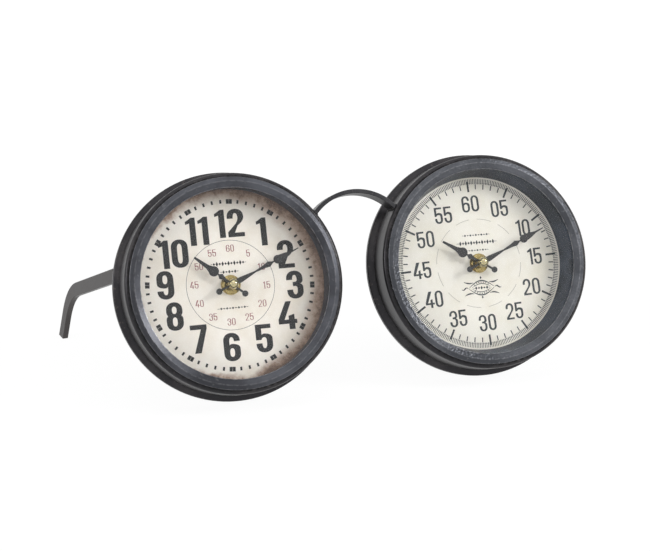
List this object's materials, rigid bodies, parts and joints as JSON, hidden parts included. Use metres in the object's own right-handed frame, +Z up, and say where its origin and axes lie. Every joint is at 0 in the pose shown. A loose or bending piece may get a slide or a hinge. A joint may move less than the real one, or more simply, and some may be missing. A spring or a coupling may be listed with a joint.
{
  "type": "table clock",
  "caption": "Table clock shaped like spectacles: round metal clocks joined by an arched bridge, standing on their rims and on bent temple arms behind.",
  "frame": {"origin": "on the table, under the centre of the whole object's bounding box", "axes": "+X to the viewer's right along the front, -Y towards the viewer, +Z up; the dials face -Y and lean back"},
  "size_m": [0.4632, 0.2414, 0.1879],
  "materials": {
    "case_metal": "dark gunmetal lacquer, worn bright on the edges",
    "temple_metal": "satin grey lacquer over steel",
    "glass": "clear flat glass",
    "dial_paper": "printed aged ivory card",
    "board": "brown fibreboard",
    "liner": "dark blue-grey card liner",
    "zinc": "zinc-plated steel",
    "black_plastic": "black moulded plastic",
    "gear_plastic": "natural white moulded plastic",
    "copper_coil": "enamelled copper wire",
    "circuit": "green circuit board",
    "battery_wrap": "plain dark sleeve",
    "rubber": "black rubber",
    "brass": "lightly tarnished brass",
    "hand_black": "satin black paint"
  },
  "bodies": {
    "frame": {"bridge_strip": "case_metal", "left_case_drum": "case_metal", "left_front_bezel": "case_metal", "left_glass_lens": "glass", "left_spacer_ring": "liner", "left_dial_face": "dial_paper", "left_dial_board": "board", "left_retaining_brackets": "zinc", "left_back_cover": "case_metal", "left_cover_screws": "zinc", "left_movement_base": "black_plastic", "left_movement_cover": "black_plastic", "left_train_plate": "gear_plastic", "left_motor_coil": "copper_coil", "left_circuit_board": "circuit", "left_battery": "battery_wrap", "left_battery_contacts": "zinc", "left_rubber_washer": "rubber", "left_threaded_bush": "brass", "left_flat_washer": "brass", "left_hex_nut": "brass", "right_case_drum": "case_metal", "right_front_bezel": "case_metal", "right_glass_lens": "glass", "right_spacer_ring": "liner", "right_dial_face": "dial_paper", "right_dial_board": "board", "right_retaining_brackets": "zinc", "right_back_cover": "case_metal", "right_cover_screws": "zinc", "right_movement_base": "black_plastic", "right_movement_cover": "black_plastic", "right_train_plate": "gear_plastic", "right_motor_coil": "copper_coil", "right_circuit_board": "circuit", "right_battery": "battery_wrap", "right_battery_contacts": "zinc", "right_rubber_washer": "rubber", "right_threaded_bush": "brass", "right_flat_washer": "brass", "right_hex_nut": "brass", "left_temple_arm": "temple_metal", "right_temple_arm": "temple_metal"},
    "left_minute": {"left_minute_arbor": "gear_plastic", "left_minute_hand": "hand_black", "left_hand_cap": "brass"},
    "left_hour": {"left_hour_wheel": "gear_plastic", "left_hour_hand": "hand_black"},
    "left_intermediate": {"left_minute_wheel": "gear_plastic"},
    "left_setting": {"left_setting_knob": "black_plastic"},
    "right_minute": {"right_minute_arbor": "gear_plastic", "right_minute_hand": "hand_black", "right_hand_cap": "brass"},
    "right_hour": {"right_hour_wheel": "gear_plastic", "right_hour_hand": "hand_black"},
    "right_intermediate": {"right_minute_wheel": "gear_plastic"},
    "right_setting": {"right_setting_knob": "black_plastic"}
  },
  "joints": [
    {"name": "left_minute_turn", "type": "hinge", "parent": "frame", "child": "left_minute", "pos_m": [-0.1102, -0.06636, 0.09606], "axis": [0, 0.9245, -0.3811], "continuous": true},
    {"name": "left_hour_turn", "type": "hinge", "parent": "frame", "child": "left_hour", "pos_m": [-0.1102, -0.06636, 0.09606], "axis": [0, 0.9245, -0.3811], "continuous": true},
    {"name": "left_intermediate_turn", "type": "hinge", "parent": "frame", "child": "left_intermediate", "pos_m": [-0.1102, -0.0558, 0.10252], "axis": [0, 0.9245, -0.3811], "continuous": true},
    {"name": "left_setting_turn", "type": "hinge", "parent": "frame", "child": "left_setting", "pos_m": [-0.10211, -0.04533, 0.10456], "axis": [0, 0.9245, -0.3811], "continuous": true},
    {"name": "right_minute_turn", "type": "hinge", "parent": "frame", "child": "right_minute", "pos_m": [0.1102, -0.06636, 0.09606], "axis": [0, 0.9245, -0.3811], "continuous": true},
    {"name": "right_hour_turn", "type": "hinge", "parent": "frame", "child": "right_hour", "pos_m": [0.1102, -0.06636, 0.09606], "axis": [0, 0.9245, -0.3811], "continuous": true},
    {"name": "right_intermediate_turn", "type": "hinge", "parent": "frame", "child": "right_intermediate", "pos_m": [0.1102, -0.0558, 0.10252], "axis": [0, 0.9245, -0.3811], "continuous": true},
    {"name": "right_setting_turn", "type": "hinge", "parent": "frame", "child": "right_setting", "pos_m": [0.11829, -0.04533, 0.10456], "axis": [0, 0.9245, -0.3811], "continuous": true}
  ],
  "couplings": [
    {"joint": "left_intermediate_turn", "follows": "left_minute_turn", "ratio": -0.33333},
    {"joint": "left_hour_turn", "follows": "left_minute_turn", "ratio": 0.083333},
    {"joint": "left_setting_turn", "follows": "left_minute_turn", "ratio": 1},
    {"joint": "right_intermediate_turn", "follows": "right_minute_turn", "ratio": -0.33333},
    {"joint": "right_hour_turn", "follows": "right_minute_turn", "ratio": 0.083333},
    {"joint": "right_setting_turn", "follows": "right_minute_turn", "ratio": 1}
  ]
}
